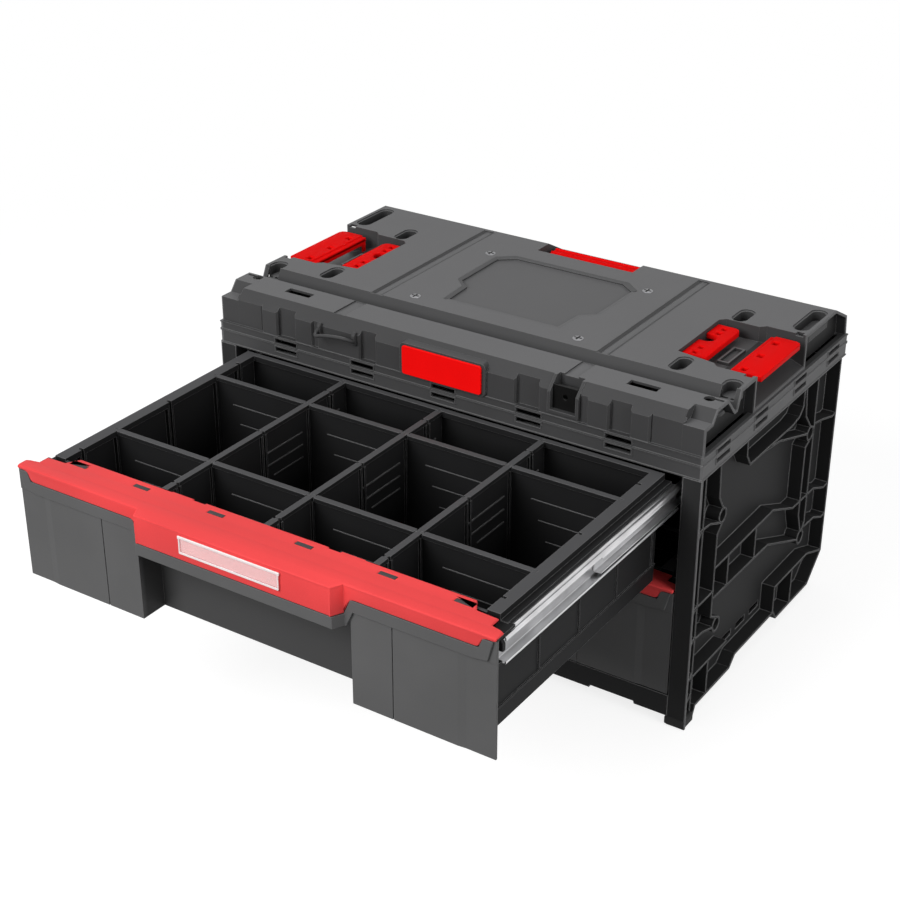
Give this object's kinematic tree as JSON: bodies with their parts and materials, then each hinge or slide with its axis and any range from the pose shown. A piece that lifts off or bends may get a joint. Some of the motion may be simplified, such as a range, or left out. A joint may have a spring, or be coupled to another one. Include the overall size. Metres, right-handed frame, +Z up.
{
  "type": "toolbox with drawers",
  "caption": "Stacking toolbox with two full-extension drawers behind red handles, divided trays, ribbed side panels and a lid with latches for another box.",
  "frame": {"origin": "middle of the footprint on the floor, with the upper drawer pulled out and the lower one pushed in", "axes": "+X to the right seen from the front, +Y towards the back, +Z up; the drawers open towards -Y"},
  "size_m": [0.576, 0.6756, 0.3451],
  "materials": {
    "lid_charcoal": "fine grained moulding",
    "case_black": "fine grained moulding",
    "tray_black": "smooth moulding",
    "front_charcoal": "fine grained moulding",
    "latch_red": "satin",
    "handle_red": "satin",
    "plate_red": "satin",
    "slide_zinc": "bright zinc",
    "screw_steel": "zinc",
    "clear_cover": "clear plastic",
    "card": "paper card",
    "lock_black": "satin"
  },
  "bodies": {
    "cabinet": {"lid": "lid_charcoal", "collar_frame": "lid_charcoal", "back_panel": "case_black", "floor_panel": "case_black", "bottom_rail": "case_black", "name_plate": "plate_red", "cable_hook": "lid_charcoal", "lock_plate": "lock_black", "deck_screws": "screw_steel", "case_screws": "screw_steel", "side_panel_left": "case_black", "slide_carrier_left": "case_black", "side_panel_right": "case_black", "slide_carrier_right": "case_black", "lower_inner_slide_left": "slide_zinc", "lower_inner_slide_right": "slide_zinc", "upper_inner_slide_left": "slide_zinc", "upper_inner_slide_right": "slide_zinc"},
    "rear_hook": {"rear_hook": "latch_red"},
    "latch_slider_left": {"latch_slider_left": "latch_red"},
    "latch_button_left": {"latch_button_left": "latch_red"},
    "latch_slider_right": {"latch_slider_right": "latch_red"},
    "latch_button_right": {"latch_button_right": "latch_red"},
    "lower_drawer": {"lower_outer_slide_left": "slide_zinc", "lower_outer_slide_right": "slide_zinc", "lower_tray": "tray_black", "lower_front": "front_charcoal", "lower_handle": "handle_red", "lower_label_card": "card", "lower_long_dividers": "tray_black", "lower_front_dividers": "tray_black", "lower_rear_dividers": "tray_black"},
    "lower_slides": {"lower_middle_slide_left": "slide_zinc", "lower_middle_slide_right": "slide_zinc"},
    "lower_cages": {"lower_ball_cage_left": "slide_zinc", "lower_ball_cage_right": "slide_zinc"},
    "lower_label_cover": {"lower_label_cover": "clear_cover"},
    "upper_drawer": {"upper_outer_slide_left": "slide_zinc", "upper_outer_slide_right": "slide_zinc", "upper_tray": "tray_black", "upper_front": "front_charcoal", "upper_handle": "handle_red", "upper_label_card": "card", "upper_long_dividers": "tray_black", "upper_front_dividers": "tray_black", "upper_rear_dividers": "tray_black"},
    "upper_slides": {"upper_middle_slide_left": "slide_zinc", "upper_middle_slide_right": "slide_zinc"},
    "upper_cages": {"upper_ball_cage_left": "slide_zinc", "upper_ball_cage_right": "slide_zinc"},
    "upper_label_cover": {"upper_label_cover": "clear_cover"}
  },
  "joints": [
    {"name": "upper_drawer_slide", "type": "slide", "parent": "cabinet", "child": "upper_drawer", "axis": [0, -1, 0], "range_m": [-0.32, 0]},
    {"name": "upper_slides_extend", "type": "slide", "parent": "cabinet", "child": "upper_slides", "axis": [0, -1, 0], "range_m": [-0.16, 0]},
    {"name": "lower_drawer_slide", "type": "slide", "parent": "cabinet", "child": "lower_drawer", "axis": [0, -1, 0], "range_m": [0, 0.32]},
    {"name": "lower_slides_extend", "type": "slide", "parent": "cabinet", "child": "lower_slides", "axis": [0, -1, 0], "range_m": [0, 0.16]},
    {"name": "upper_cages_follow", "type": "slide", "parent": "cabinet", "child": "upper_cages", "axis": [0, -1, 0], "range_m": [-0.24, 0]},
    {"name": "lower_cages_follow", "type": "slide", "parent": "cabinet", "child": "lower_cages", "axis": [0, -1, 0], "range_m": [0, 0.24]},
    {"name": "rear_hook_slide", "type": "slide", "parent": "cabinet", "child": "rear_hook", "axis": [0, 1, 0], "range_m": [0, 0.006]},
    {"name": "latch_slider_left_slide", "type": "slide", "parent": "cabinet", "child": "latch_slider_left", "axis": [-1, 0, 0], "range_m": [0, 0.008]},
    {"name": "latch_button_left_pull", "type": "slide", "parent": "cabinet", "child": "latch_button_left", "axis": [-1, 0, 0], "range_m": [0, 0.006], "stiffness_N_per_m": 300},
    {"name": "latch_slider_right_slide", "type": "slide", "parent": "cabinet", "child": "latch_slider_right", "axis": [1, 0, 0], "range_m": [0, 0.008]},
    {"name": "latch_button_right_pull", "type": "slide", "parent": "cabinet", "child": "latch_button_right", "axis": [1, 0, 0], "range_m": [0, 0.006], "stiffness_N_per_m": 300},
    {"name": "lower_label_hinge", "type": "hinge", "parent": "lower_drawer", "child": "lower_label_cover", "pos_m": [0, -0.0169, 0.15235], "axis": [-1, 0, 0], "range_deg": [0, 90]},
    {"name": "upper_label_hinge", "type": "hinge", "parent": "upper_drawer", "child": "upper_label_cover", "pos_m": [0, -0.3369, 0.2751], "axis": [-1, 0, 0], "range_deg": [0, 90]}
  ],
  "couplings": [
    {"joint": "upper_slides_extend", "follows": "upper_drawer_slide", "ratio": 0.5},
    {"joint": "lower_slides_extend", "follows": "lower_drawer_slide", "ratio": 0.5},
    {"joint": "upper_cages_follow", "follows": "upper_drawer_slide", "ratio": 0.75},
    {"joint": "lower_cages_follow", "follows": "lower_drawer_slide", "ratio": 0.75}
  ]
}
